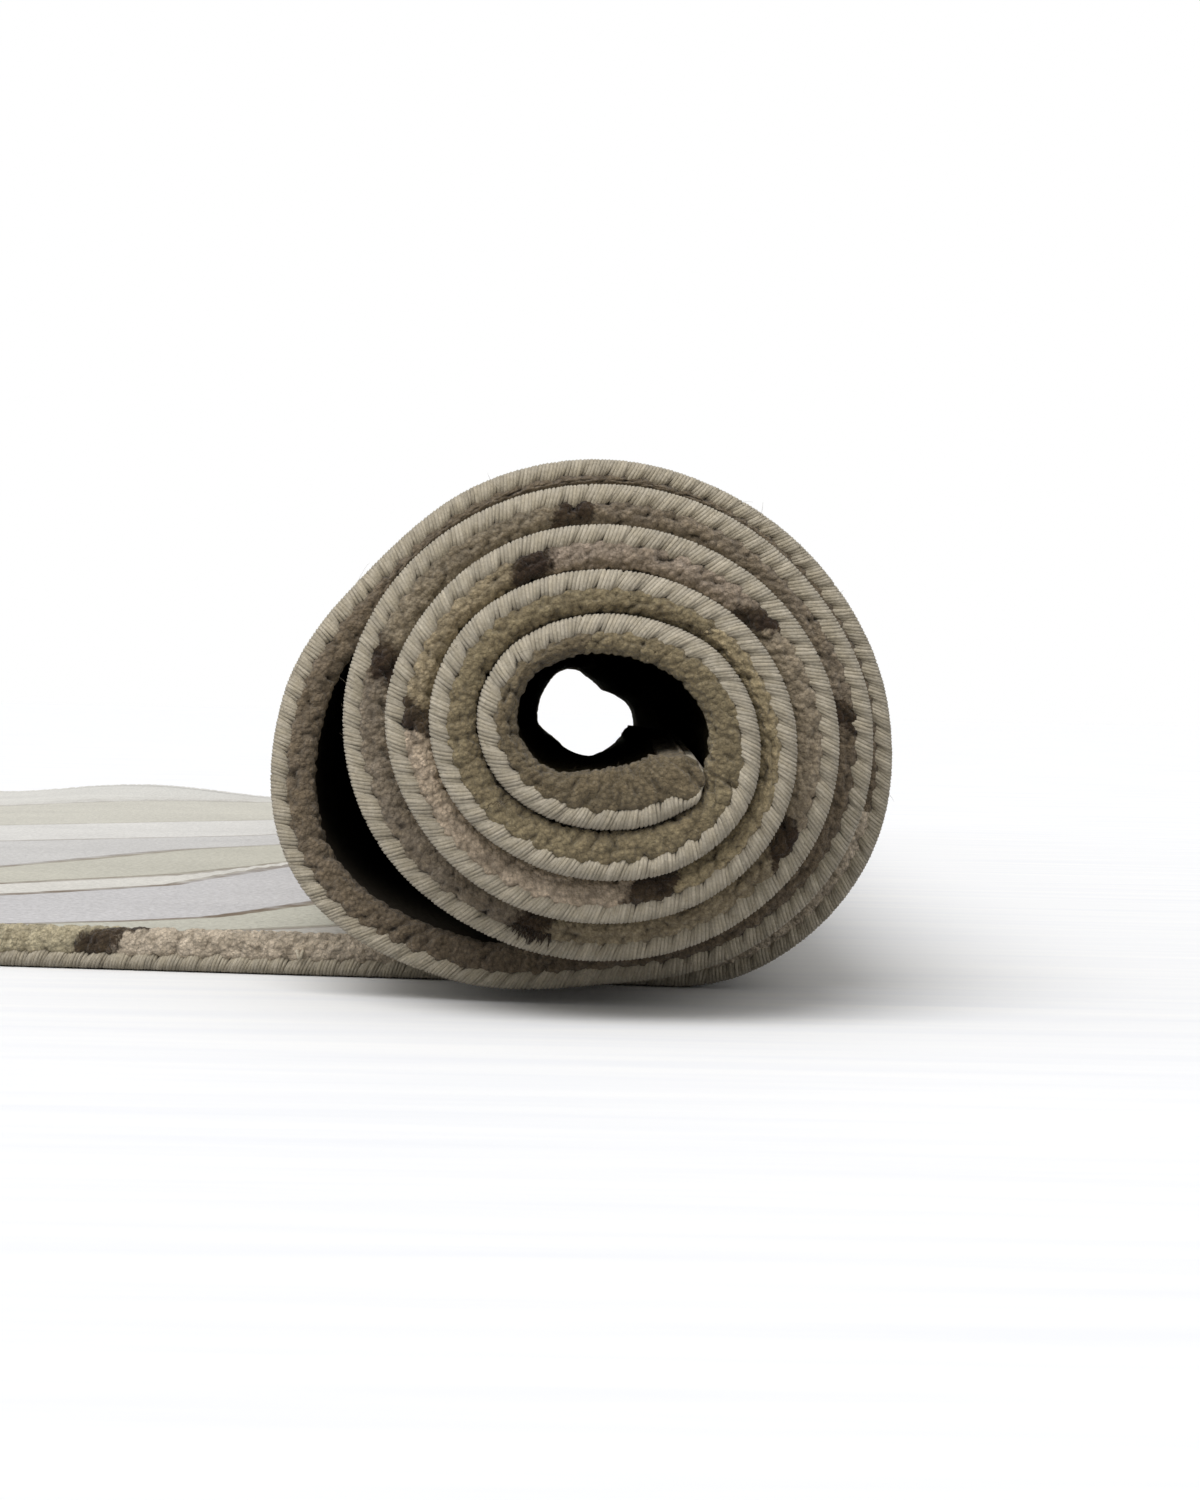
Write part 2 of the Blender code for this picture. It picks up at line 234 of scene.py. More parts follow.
# Brown outlines run across the rug. The first ones are given by the winding angles between which
# they show at the front edge, the others by how far along the rug they are at each v of "across".
pattern = {
    # the crossings at 1545, 1300, 1120 and -20 have no outline: they only split a colour, so that rings of
    # the roll and the tail get their own painted light and shade
    "crossings": ((1545, 1545), (1300, 1300), (1120, 1120), (998, 1015), (897, 906), (829, 845),
                  (748, 759), (680, 692), (608, 617), (523, 533), (454, 465), (357, 364), (-20, -20)),
    "across": (0.0, 0.005, 0.012, 0.03, 0.06, 0.09, 0.14, 0.2, 0.28, 0.36, 0.45, 0.6, 0.8, 1.1, 1.52),
    "outlinesFrom": 0.0083,    # where along the rug the places of the outlines are measured from
    "outlines": (
        (1.8625, 1.847, 1.835, 1.823, 1.806, 1.792, 1.778, 1.77, 1.76, 1.75, 1.745, 1.74, 1.76, 1.74, 1.7),
        (1.915, 1.912, 1.906, 1.891, 1.866, 1.851, 1.847, 1.842, 1.838, 1.832, 1.826, 1.82, 1.84, 1.85, 1.8),
        (2.035, 2.033, 2.03, 2.022, 2.009, 1.995, 1.971, 1.946, 1.92, 1.922, 1.924, 1.92, 1.91, 1.93, 1.88),
        (2.075, 2.074, 2.071, 2.064, 2.052, 2.041, 2.022, 1.998, 1.97, 1.94, 1.932, 1.927, 1.917, 1.937, 1.9),
        (2.15, 2.148, 2.144, 2.136, 2.124, 2.112, 2.094, 2.07, 2.044, 2.024, 2.015, 2.005, 1.95, 1.96, 1.93),
        (2.29, 2.289, 2.288, 2.284, 2.278, 2.272, 2.264, 2.254, 2.242, 2.232, 2.212, 2.13, 2.02, 1.98, 1.95),
        (2.37, 2.369, 2.368, 2.364, 2.36, 2.356, 2.35, 2.344, 2.338, 2.332, 2.326, 2.29, 2.2, 2.05, 2.0),
        (2.5, 2.5, 2.5, 2.5, 2.5, 2.5, 2.49, 2.48, 2.47, 2.46, 2.45, 2.44, 2.42, 2.3, 2.12),
    ),
    "half": 0.0042,           # half an outline's width on the rug
    "halfEdge": 0.0065,       # the same at the edge, for the outlines that are given along the rug
    "edgeReach": 0.01,        # how far in from the edge that width reaches
    "drift": 0.05,            # how far an outline that is given by angles wanders on its way across
    "swell": 0.35,            # how unevenly wide the others are
    "reach": 0.0135,          # how far from an outline the wave attribute levels off
    "leastReach": 0.0003,
    "leastHalf": 0.0001,
    "inner": 0.3,             # the first colour begins this far before the first outline
    "lean": 0.5,              # the pile leans towards the inner end
    "leanFrom": 0.0085,       # height at which the lean leaves an outline in its place
}
outlineShare = 0.12           # an outline's half width in the wave attribute
outlineCount = len(pattern["crossings"]) + len(pattern["outlines"])


# the wave attribute is a whole number on each outline and rises between them, outwards
def waveAt(u, v):
    u, v = np.broadcast_arrays(u, v)
    nearEdge = np.exp(-v / pattern["edgeReach"])
    wave = np.full(u.shape, -0.5)
    middles, halves, shares = [], [], []
    for number, (first, last) in enumerate(pattern["crossings"]):
        places = frontPlace(np.array((last, first), float))
        half = (places[1] - places[0]) / 2
        drift = pattern["drift"] * np.sin(v * (3 + number % 4) + number)
        middles.append(places.mean() + (drift - pattern["drift"] * math.sin(number)))
        # colours that meet without an outline are split only for painted light and shade
        onTop = pattern["half"] if half else 0.0       # some colours meet without an outline
        halves.append(np.maximum(onTop + (half - onTop) * nearEdge, pattern["leastHalf"]))
        shares.append(outlineShare if half else 0.5)
    for number, places in enumerate(pattern["outlines"]):
        middles.append(pattern["outlinesFrom"] + np.interp(v, pattern["across"], places))
        swell = pattern["swell"] * np.sin(v * 23 + number * 2.1)
        halves.append(pattern["half"] * (1 + swell)
                      + (pattern["halfEdge"] - pattern["half"]) * nearEdge)
        shares.append(outlineShare)
    for k in range(outlineCount):
        low, high = middles[k] - halves[k], middles[k] + halves[k]
        before = middles[k - 1] + halves[k - 1] if k else low - pattern["inner"]
        start = shares[k - 1] if k else outlineShare
        # it levels off away from the outlines, so they stay sharp between the points of the mesh
        reach = np.clip((low - before) / 2, pattern["leastReach"], pattern["reach"])
        rise = (0.5 - start) * np.clip((u - before) / reach, 0, 1)
        rise = rise + (0.5 - shares[k]) * np.clip((u - low) / reach + 1, 0, 1)
        wave = np.where(u > before, k - 1 + start + rise, wave)
        over = np.clip((u - low) / (high - low), 0, 1)
        wave = np.where(u > low, k - shares[k] + 2 * shares[k] * over, wave)
    high = middles[-1] + halves[-1]
    return np.where(u > high, outlineCount - 1 + outlineShare + 0.4 * np.clip(u - high, 0, 1), wave)


def makePiece(name, points, faces, floats, vectors, material):
    mesh = bpy.data.meshes.new(name)
    points = np.asarray(points, np.float32).reshape(-1, 3)
    sizes = np.array([len(face) for face in faces], np.int32)
    corners = np.concatenate([*faces]).astype(np.int32)
    mesh.vertices.add(len(points))
    mesh.vertices.foreach_set("co", points.ravel())
    mesh.loops.add(len(corners))
    mesh.loops.foreach_set("vertex_index", corners)
    mesh.polygons.add(len(sizes))
    starts = np.concatenate([[0], np.cumsum(sizes)[:-1]]).astype(np.int32)
    mesh.polygons.foreach_set("loop_start", starts)
    mesh.polygons.foreach_set("loop_total", sizes)
    mesh.update(calc_edges=True)
    mesh.validate()
    for key, values in floats.items():
        layer = mesh.attributes.new(key, "FLOAT", "POINT")
        layer.data.foreach_set("value", np.asarray(values, np.float32).ravel())
    for key, values in vectors.items():
        layer = mesh.attributes.new(key, "FLOAT_VECTOR", "POINT")
        layer.data.foreach_set("vector", np.asarray(values, np.float32).ravel())
    mesh.shade_smooth()
    mesh.materials.append(material)
    piece = bpy.data.objects.new(name, mesh)
    bpy.context.scene.collection.objects.link(piece)
    return piece


# the faces turned so that they point out, and whether that turned them round
def outward(points, quads):
    a, b, c, d = (points[quads[:, k]] for k in range(4))
    volume = (np.einsum("ij,ij->i", a, np.cross(b, c)) + np.einsum("ij,ij->i", a, np.cross(c, d))).sum()
    return (quads, False) if volume > 0 else (quads[:, ::-1], True)


def endCaps(rings, sides, turned):
    first = np.arange(sides)[::-1]
    last = (rings - 1) * sides + np.arange(sides)
    return [first[::-1], last[::-1]] if turned else [first, last]


def gridFaces(rows, columns, wrap=False):
    j = np.arange(rows - 1)[:, None]
    k = np.arange(columns if wrap else columns - 1)[None, :]
    following = (k + 1) % columns
    return np.stack([j * columns + k, j * columns + following,
                     (j + 1) * columns + following, (j + 1) * columns + k], axis=-1).reshape(-1, 4)


# closed tubes round many centre lines at once
def tubes(lines, radii, side, sides):
    count, rings = lines.shape[:2]
    tangent = np.gradient(lines, axis=1)
    tangent /= np.linalg.norm(tangent, axis=2, keepdims=True)
    across = side - np.sum(side * tangent, axis=2, keepdims=True) * tangent
    across /= np.linalg.norm(across, axis=2, keepdims=True)
    up = np.cross(tangent, across)
    turn = np.arange(sides) * 2 * math.pi / sides
    ring = (across[:, :, None] * np.cos(turn)[None, None, :, None]
            + up[:, :, None] * np.sin(turn)[None, None, :, None])
    points = (lines[:, :, None] + ring * radii[:, :, None, None]).reshape(-1, 3)
    starts = np.arange(count)[:, None, None] * rings * sides
    quads, turned = outward(points, (gridFaces(rings, sides, wrap=True)[None] + starts).reshape(-1, 4))
    caps = endCaps(rings, sides, turned)
    ends = [cap + start for start in starts[:, 0, 0] for cap in caps]
    return points, [*quads, *ends]


# for each point of such tubes, where its centre line lies on the rug
def tubePlaces(u, v, h, sides):
    return np.repeat(np.stack([u, v, h], axis=-1).reshape(-1, 3), sides, axis=0)


# where a place along an edge, and a distance inwards from it, lie on the rug
def onEdge(edge, a, inwards):
    a, inwards = np.broadcast_arrays(a, inwards)
    if edge == "front":
        return a, inwards
    if edge == "back":
        return a, rug["width"] - inwards
    if edge == "inner":
        return inwards, a
    return rug["length"] - inwards, a


def edgeLength(edge):
    return rug["length"] if edge in ("front", "back") else rug["width"]


def randomAt(*cells):
    mixed = sum(cell * factor for cell, factor in zip(cells, (127.1, 311.7, 74.7)))
    return np.mod(np.sin(mixed) * 43758.5453, 1.0)


# rounded lumps on a jittered grid: height from 0 to 1, a random number for each lump, and how far
# its middle lies from here
def lumps(a, b, size, seed):
    a, b = a / size, b / size
    best = np.full(a.shape, 9.0)
    tone, offset = np.zeros(a.shape), np.zeros(a.shape)
    for stepA in (-1, 0, 1):
        for stepB in (-1, 0, 1):
            cellA, cellB = np.floor(a) + stepA, np.floor(b) + stepB
            atA = cellA + 0.1 + 0.8 * randomAt(cellA, cellB, seed)
            atB = cellB + 0.1 + 0.8 * randomAt(cellA, cellB, seed + 5)
            distance = np.hypot(a - atA, b - atB) * (0.85 + 0.3 * randomAt(cellA, cellB, seed + 7))
            nearer = distance < best
            best = np.where(nearer, distance, best)
            tone = np.where(nearer, randomAt(cellA, cellB, seed + 9), tone)
            offset = np.where(nearer, atA - a, offset)
    return np.sqrt(np.clip(1 - (best / 0.9) ** 2, 0, 1)), tone, offset * size


# a shader socket that can be written in sums, each of which adds its nodes
class Value:
    def __init__(self, tree, socket=None):
        self.tree = tree
        self.socket = socket

    def node(self, kind, settings=None, sockets=None, output=0):
        made = self.tree.nodes.new(kind)
        for name, value in (settings or {}).items():
            if name == "stops":
                ramp = made.color_ramp
                while len(ramp.elements) < len(value):
                    ramp.elements.new(1.0)
                for stop, (place, colour) in zip(ramp.elements, value):
                    stop.position = place
                    stop.color = colour
            elif name == "interpolation":
                made.color_ramp.interpolation = value
            else:
                setattr(made, name, value)
        for name, value in (sockets or {}).items():
            if isinstance(value, Value):
                self.tree.links.new(value.socket, made.inputs[name])
            else:
                made.inputs[name].default_value = value
        return Value(self.tree, made.outputs[output])

    def maths(self, operation, other=0.0, swapped=False):
        first, second = (other, self) if swapped else (self, other)
        return self.node("ShaderNodeMath", {"operation": operation}, {0: first, 1: second})

    def __add__(self, other):
        return self.maths("ADD", other)

    def __radd__(self, other):
        return self.maths("ADD", other)

    def __sub__(self, other):
        return self.maths("SUBTRACT", other)

    def __rsub__(self, other):
        return self.maths("SUBTRACT", other, swapped=True)

    def __mul__(self, other):
        return self.maths("MULTIPLY", other)

    def __rmul__(self, other):
        return self.maths("MULTIPLY", other)

    def __truediv__(self, other):
        return self.maths("DIVIDE", other)

    def __abs__(self):
        return self.maths("ABSOLUTE")

    def attribute(self, name, output=2):
        return self.node("ShaderNodeAttribute", {"attribute_name": name}, output=output)

    def noise(self, place, scale, detail=2.0, roughness=0.5):
        return self.node("ShaderNodeTexNoise", {},
                         {"Vector": place, "Scale": scale, "Detail": detail, "Roughness": roughness})

    def tufts(self, place, scale):
        return self.node("ShaderNodeTexVoronoi", {}, {"Vector": place, "Scale": scale})

    def part(self, number):
        return self.node("ShaderNodeSeparateXYZ", {}, {0: self}, output=number)

    def stretched(self, place, scale):
        return self.node("ShaderNodeVectorMath", {"operation": "MULTIPLY"}, {0: place, 1: scale})

    def mixed(self, share, first, second, blend="MIX"):
        return self.node("ShaderNodeMix", {"data_type": "RGBA", "blend_type": blend},
                         {0: share, 6: first, 7: second}, output=2)

    def between(self, low, high, toLow=0.0, toHigh=1.0):
        return self.node("ShaderNodeMapRange", {},
                         {"Value": self, "From Min": low, "From Max": high,
                          "To Min": toLow, "To Max": toHigh})

    def bump(self, height, strength, distance):
        return self.node("ShaderNodeBump", {},
                         {"Height": height, "Strength": strength, "Distance": distance})


def linear(red, green, blue):
    parts = [c / 255 for c in (red, green, blue)]
    return (*[c / 12.92 if c <= 0.04045 else ((c + 0.055) / 1.055) ** 2.4 for c in parts], 1.0)


def newMaterial(name, roughness, sheen):
    material = bpy.data.materials.new(name)
    material.use_nodes = True
    shader = material.node_tree.nodes["Principled BSDF"]
    shader.inputs["Roughness"].default_value = roughness
    shader.inputs["Sheen Weight"].default_value = sheen
    shader.inputs["Sheen Roughness"].default_value = 0.5
    shader.inputs["Specular IOR Level"].default_value = 0.15
    return material, Value(material.node_tree), shader


def connect(value, socket):
    value.tree.links.new(value.socket, socket)


# ramp stops that give each colour an equal stretch
def steps(colours):
    return [(k / len(colours), linear(*colour)) for k, colour in enumerate(colours)]


pileLook = {
    # colours between the outlines, from the inner end outwards, at the edge and seen from above: the rug's
    # own colours with painted light and shade in them
    # on the flat part (from the fourteenth on) the edge colours are painted darker than the top ones, as
    # shade on the face of the pile; on the rolled part they are painted lighter in some rings and darker in
    # others, and the tail's (the fourteenth, from winding angle -20 on) is painted lighter than the outer
    # turn's before it
    "edge": ((126, 113, 89), (150, 136, 106), (150, 136, 106), (182, 165, 130), (214, 194, 170),
             (174, 158, 128), (180, 163, 145), (174, 159, 137), (170, 155, 128), (150, 137, 120),
             (152, 139, 118), (150, 136, 118), (128, 114, 96),
             (222, 206, 184), (208, 196, 164), (190, 176, 156), (204, 194, 178), (182, 172, 146),
             (190, 178, 164), (208, 200, 186), (184, 172, 152), (192, 180, 162)),
    # the top colours of the rolled part (the first thirteen) are painted darker as shade inside the roll,
    # seen through the hole and in the gap by the outer turn, the thirteenth darkest
    "top": ((122, 112, 86), (126, 116, 90), (140, 132, 108), (150, 142, 120), (160, 152, 132),
            (186, 182, 166), (196, 194, 188), (190, 187, 172), (170, 164, 150), (160, 154, 138),
            (140, 134, 120), (110, 104, 92), (64, 58, 48), (214, 210, 203), (213, 211, 198),
            (219, 217, 218), (236, 233, 226), (213, 210, 197), (221, 219, 217), (236, 234, 230),
            (222, 219, 208), (232, 230, 224)),
    "outline": (52, 36, 24),
    "topOutline": (138, 124, 108),
    "topTufts": 430.0,           # tufts and fibres to a metre, from above and at the edge
    "topFibres": 1200.0,
    "edgeTufts": 800.0,
    "edgeFibres": 2300.0,
    "warm": (120, 104, 78),      # tone that some of the edge's tufts turn to
    "bump": 0.0012,
}


# gives a material its colour, made lighter and darker by light, and its bump
def dress(shader, colour, light, height, strength, distance):
    grey = colour.node("ShaderNodeCombineColor", {}, {0: light, 1: light, 2: light})
    connect(colour.mixed(1.0, colour, grey, "MULTIPLY"), shader.inputs["Base Color"])
    connect(colour.bump(height, strength, distance), shader.inputs["Normal"])


def patternColours(paint, wave, colours, outline, share):
    ramp = paint.node("ShaderNodeValToRGB", {"interpolation": "CONSTANT", "stops": steps(colours)},
                      {0: (wave.maths("FLOOR") + 1.5) / len(colours)})
    toLine = abs(wave - (wave + 0.5).maths("FLOOR"))
    onLine = toLine.between(outlineShare * 0.8, outlineShare * 1.2, 1.0, 0.0)
    return paint.mixed(onLine * share, ramp, linear(*outline)), onLine


# the pile seen from above: soft and even, with fine grain, and painted shade at the edges of the tufts
def pileMaterial():
    material, paint, shader = newMaterial("pileTop", 0.95, 0.0)
    place = paint.attribute("rug", 1)
    wave = paint.attribute("wave") + (paint.noise(place, 60.0, 3.0) - 0.5) * 0.09
    broken = paint.noise(place, 38.0, 1.0).between(0.35, 0.6, 0.45, 1.0)
    broken = broken * place.part(1).between(0.15, 0.8, 1.0, 0.3)      # and fainter towards the back
    colour, onLine = patternColours(paint, wave, pileLook["top"], pileLook["topOutline"], broken)
    tufts = paint.tufts(place, pileLook["topTufts"])
    grain = paint.noise(place, pileLook["topFibres"], 3.0, 0.6)
    shade = paint.noise(place, 11.0, 3.0, 0.6)
    light = grain.between(0.3, 0.7, 0.86, 1.08) * shade.between(0.3, 0.7, 0.94, 1.04)
    # darker towards the edges of each tuft: painted shade between the tufts
    light = light * tufts.between(0.0, 0.7, 1.04, 0.84)
    dress(shader, colour, light, grain * 0.5 + (1.0 - tufts) * 0.7 - onLine, 0.6, pileLook["bump"])
    return material


# the pile seen from the side: tufts in clumps, each with its own tone, and painted shade in the hollows
# between clumps and at the edges of the tufts
def pileEdgeMaterial():
    material, paint, shader = newMaterial("pileEdge", 0.95, 0.15)
    place = paint.node("ShaderNodeTexCoord", output=3)
    wave = paint.attribute("wave") + (paint.noise(place, 500.0, 2.0) - 0.5) * 0.05
    colour, _ = patternColours(paint, wave, pileLook["edge"], pileLook["outline"], 0.97)
    tone = paint.attribute("tone")
    hollow = paint.attribute("hollow")
    tufts = paint.tufts(place, pileLook["edgeTufts"])
    fibre = paint.noise(place, pileLook["edgeFibres"], 3.0, 0.7)
    warm = paint.noise(place, 170.0, 2.0).between(0.35, 0.65, 0.0, 0.35)
    colour = paint.mixed(warm, colour, linear(*pileLook["warm"]))
    light = tone.between(0.0, 1.0, 0.72, 1.22) * fibre.between(0.3, 0.7, 0.70, 1.28)
    # painted shade: darker in the hollows between the clumps and towards the edges of the tufts
    light = light * hollow.between(0.0, 1.0, 0.30, 1.12) * tufts.between(0.0, 0.75, 1.14, 0.72)
    dress(shader, colour, light, fibre * 0.5 + (1.0 - tufts) * 0.8, 1.0, pileLook["bump"])
    return material


yarnLook = {
    "colours": ((190, 180, 161), (172, 161, 139)),
    "fibres": 2.6,               # round a strand
    "fuzz": 1800.0,              # to a metre
    "bump": 0.0005,
}


# wool yarn: fine fibres along each strand, each strand a little lighter or darker, and the strands at the
# sides of a bundle painted darker as shade between bundles
def yarnMaterial():
    material, paint, shader = newMaterial("bindingYarn", 0.85, 0.2)
    place = paint.attribute("strand", 1)
    tone = paint.attribute("tone")
    fibre = paint.noise(paint.stretched(place, (1.0, 0.14, 1.0)), yarnLook["fibres"], 3.0, 0.65)
    fuzz = paint.noise(paint.attribute("rug", 1), yarnLook["fuzz"], 3.0, 0.7)
    light = tone.between(0.0, 1.0, 0.80, 1.10) * fibre.between(0.3, 0.7, 0.84, 1.12)
    light = light * fuzz.between(0.3, 0.7, 0.80, 1.16)
    share = paint.noise(place, 0.25, 1.0).between(0.4, 0.6, 0.0, 0.6)
    pale, dark = yarnLook["colours"]
    colour = paint.mixed(share, linear(*pale), linear(*dark))
    dress(shader, colour, light, fibre * 0.6 + fuzz * 0.6, 0.8, yarnLook["bump"])
    return material


backLook = {
    "colours": ((188, 180, 160), (176, 167, 146)),
    "pitch": 0.0022,             # of the weave, over and under
    "threads": 900.0,            # to a metre
    "slubs": 260.0,
    "bump": 0.0008,
}


# plain woven cotton back
def backingMaterial():
    material, paint, shader = newMaterial("wovenBack", 0.92, 0.1)
    place = paint.attribute("rug", 1)
    wobble = (paint.noise(place, 60.0, 2.0) - 0.5) * 1.2
    over, under = ((place.part(k) * (2 * math.pi / backLook["pitch"]) + wobble).maths("SINE")
                   for k in (0, 1))
    weave = over * under
    threads = paint.noise(paint.stretched(place, (1.0, 0.15, 1.0)), backLook["threads"], 2.0)
    slub = paint.noise(paint.stretched(place, (0.05, 1.0, 1.0)), backLook["slubs"], 2.0)
    light = weave.between(-1.0, 1.0, 0.82, 1.04) * threads.between(0.3, 0.7, 0.9, 1.06)
    light = light * slub.between(0.3, 0.7, 0.92, 1.05)
    pale, dark = backLook["colours"]
    patches = paint.noise(place, 5.0, 3.0).between(0.35, 0.65)
    colour = paint.mixed(patches, linear(*pale), linear(*dark))
    dress(shader, colour, light, weave * 0.5 + slub * 0.4, 0.7, backLook["bump"])
    return material


layers = {
    "turnStep": 5.0,       # degrees
    "flatStations": 150,
    "stationCrowding": 1.05,       # they lie a little closer together by the roll
    "keepOff": 1.5,        # how many insets the first station keeps off the inner end
    "endTurn": 4.0,        # degrees from the inner end to the first station
    "crowding": 1.25,      # rows lie closer together towards the front edge
    # rows, lowest and highest place in the rug, and how far inside its edge
    "pile": (82, 0.0058, 0.0113, 0.003),
    "back": (20, 0.0006, 0.0050, 0.0015),
}


# places along the front and back edges that lie on one line of the cone
def stationPlaces(inset):
    angles = np.arange(rug["end"] - layers["endTurn"], rug["start"], -layers["turnStep"])
    turns = np.append(np.interp(angles, windAngles, windLengths) / rug["apex"], contactTurn)
    fronts = rug["apex"] * np.tan(turns)
    backs = (rug["apex"] + rug["width"]) * np.tan(turns)
    keep = np.minimum(fronts, backs) > inset * layers["keepOff"]
    fronts, backs = fronts[keep], backs[keep]
    share = np.arange(1, layers["flatStations"] + 1) / layers["flatStations"]
    share = share ** layers["stationCrowding"]
    last = rug["length"] - inset
    fronts = np.concatenate([[inset], fronts, fronts[-1] + (last - fronts[-1]) * share])
    backs = np.concatenate([[inset], backs, backs[-1] + (last - backs[-1]) * share])
    return fronts, backs


# one closed sheet all over the rug, between two heights in it
def clothLayer(name, rowCount, low, high, inset, material):
    fronts, backs = stationPlaces(inset)
    v = np.linspace(0, 1, rowCount) ** layers["crowding"]
    v = inset + (rug["width"] - 2 * inset) * v
    u = fronts[:, None] + (backs - fronts)[:, None] * v[None, :] / rug["width"]
    v = np.broadcast_to(v, u.shape)
    rows, columns = u.shape
    top = wound(u, v, high).reshape(-1, 3)
    bottom = wound(u, v, low).reshape(-1, 3)
    points = np.concatenate([top, bottom])
    number = np.arange(rows * columns).reshape(rows, columns)
    rim = np.concatenate([number[0, :], number[1:, -1], number[-1, -2::-1], number[-2:0:-1, 0]])
    following = np.roll(rim, -1)
    shift = rows * columns
    upper = gridFaces(rows, columns)
    lower = upper[:, ::-1] + shift
    walls = np.stack([rim + shift, following + shift, following, rim], axis=1)
    faces, _ = outward(points, np.concatenate([upper, lower, walls]))
    place = np.stack([u.ravel(), v.ravel(), np.full(u.size, high)], axis=1)
    under = place.copy()
    under[:, 2] = low
    wave = waveAt(u, v).ravel()
    return makePiece(name, points, faces, {"wave": np.concatenate([wave, wave])},
                     {"rug": np.concatenate([place, under])}, material)


pileEdges = {
    # millimetres inwards from the edge and up, from under the binding round to the top of the pile
    "profile": ((1.9, 5.0), (0.9, 5.4), (0.45, 6.0), (0.25, 6.9), (0.2, 7.7), (0.2, 8.5),
                (0.3, 9.3), (0.6, 10.1), (1.1, 10.8), (1.9, 11.3), (3.2, 11.6), (5.0, 11.5),
                (7.5, 11.0)),
    "inside": ((7.5, 8.0), (2.6, 6.0)),       # and back through the rug
    "crowding": ((0, 0.74, 1), (0, 0.58, 1)),    # more points on the first part of the profile
    "clump": (0.0031, 0.0024),           # size and height
    "tuft": (0.00135, 0.0010),
    "level": (0.62, 0.5),                # clump and tuft that leave the profile as it is
    "lean": 0.4,                         # of the tufts, along the edge
    "backRise": 0.35,                    # the lumps are lower along the back edge
    "fadeIn": 0.0008,                    # and at the start and end of the profile
    "fadeOut": 0.003,
    "foot": 0.0056,                      # height at which the pile begins
    "margin": 0.004,                     # kept free at both ends of the inner and outer edges
    "endRound": (0.008, 0.004),          # the pile rounds down at the two ends of the edge
    "endDrop": 0.55,
    "endInwards": 0.002,
    "reachDown": 0.55,                   # it reaches lower near the inner end, where the yarn is low
    "coarseFrom": 1.95,                  # half the rows from here on, on the part that lies flat
}


def resample(profile, count, crowding=((0, 1), (0, 1))):
    profile = np.array(profile) / 1000
    along = np.concatenate([[0], np.cumsum(np.hypot(*np.diff(profile, axis=0).T))])
    at = np.interp(np.linspace(0, 1, count), *crowding) * along[-1]
    return np.stack([np.interp(at, along, profile[:, k]) for k in range(2)], axis=1), at


